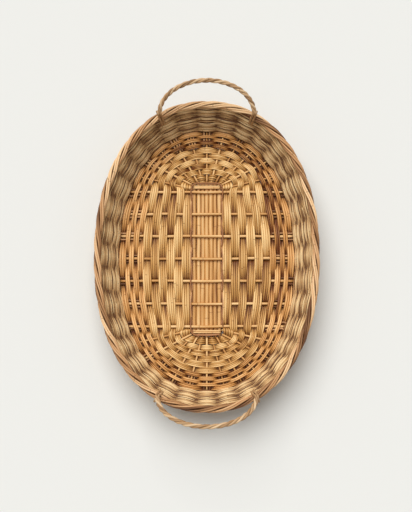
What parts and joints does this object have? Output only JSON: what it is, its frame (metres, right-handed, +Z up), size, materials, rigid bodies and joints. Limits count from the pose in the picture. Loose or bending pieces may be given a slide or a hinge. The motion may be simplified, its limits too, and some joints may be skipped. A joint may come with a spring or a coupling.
{
  "type": "wicker tray",
  "caption": "Oval handwoven wicker tray with a stick-and-strip base, a low flared wall, a rolled border and a twisted rod handle at each end",
  "frame": {"origin": "on the surface that the tray stands on, under the middle of the tray", "axes": "+X across the tray, +Y along the tray towards one handle, +Z up"},
  "size_m": [0.3226, 0.494, 0.1036],
  "materials": {
    "base_stick": "satin, peeled round rods",
    "wide_strip": "satin, split flat rods",
    "narrow_strip": "satin, thin reddish rods",
    "binding_rod": "matt, thin unpeeled rod",
    "foot_rod": "satin, wound rods",
    "wall_rod": "satin, thin straw-coloured rods",
    "border_rod": "satin, pale bent rods",
    "handle_rod": "satin, twisted rods"
  },
  "bodies": {
    "root": {"cross_stick_1": "base_stick", "cross_stick_2": "base_stick", "cross_stick_3": "base_stick", "cross_stick_4": "base_stick", "cross_stick_5": "base_stick", "cross_stick_6": "base_stick", "cross_stick_7": "base_stick", "long_stick_1": "base_stick", "long_stick_2": "base_stick", "long_stick_3": "base_stick", "long_stick_4": "base_stick", "long_stick_5": "base_stick", "long_stick_6": "base_stick", "long_stick_7": "base_stick", "north_spoke_1": "base_stick", "north_spoke_2": "base_stick", "north_spoke_10": "base_stick", "north_spoke_11": "base_stick", "south_spoke_1": "base_stick", "south_spoke_2": "base_stick", "south_spoke_10": "base_stick", "south_spoke_11": "base_stick", "north_end_bar": "base_stick", "south_end_bar": "base_stick", "wide_strip_1": "wide_strip", "wide_strip_2": "wide_strip", "wide_strip_3": "wide_strip", "wide_strip_4": "wide_strip", "wide_strip_5": "wide_strip", "wide_strip_6": "wide_strip", "narrow_strip_1": "narrow_strip", "narrow_strip_2": "narrow_strip", "narrow_strip_3": "narrow_strip", "narrow_strip_4": "narrow_strip", "narrow_strip_5": "narrow_strip", "core_binding": "binding_rod", "foot_wale": "foot_rod", "wall_weaver_a": "wall_rod", "wall_weaver_b": "wall_rod", "stakes_and_border": "border_rod", "north_handle_strand_1": "handle_rod", "north_handle_strand_2": "handle_rod", "north_handle_strand_3": "handle_rod", "south_handle_strand_1": "handle_rod", "south_handle_strand_2": "handle_rod", "south_handle_strand_3": "handle_rod"}
  },
  "joints": []
}
